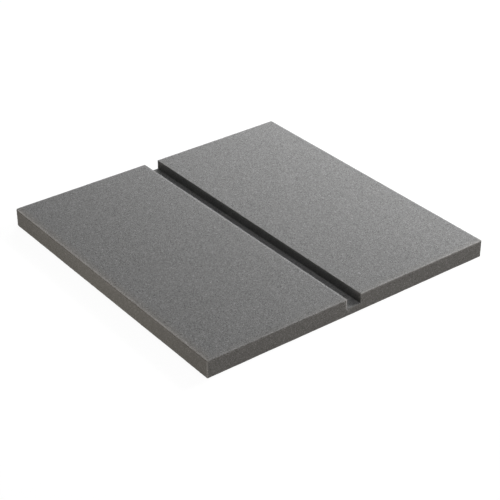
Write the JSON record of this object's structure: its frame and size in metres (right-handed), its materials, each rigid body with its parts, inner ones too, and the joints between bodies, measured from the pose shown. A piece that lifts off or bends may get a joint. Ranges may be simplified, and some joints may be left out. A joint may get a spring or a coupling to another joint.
{
  "type": "acoustic foam panel",
  "caption": "Square flat slab of soft fine-cell foam with a straight square-cut channel along its face, glued flat to a wall or ceiling to absorb sound.",
  "frame": {"origin": "middle of the flat back, the face that is glued to the wall or ceiling", "axes": "+Z out of the face, +Y along the channel, +X across it"},
  "size_m": [0.55, 0.55, 0.03],
  "materials": {
    "foam": "matte"
  },
  "bodies": {
    "root": {"foam_panel": "foam"}
  },
  "joints": []
}
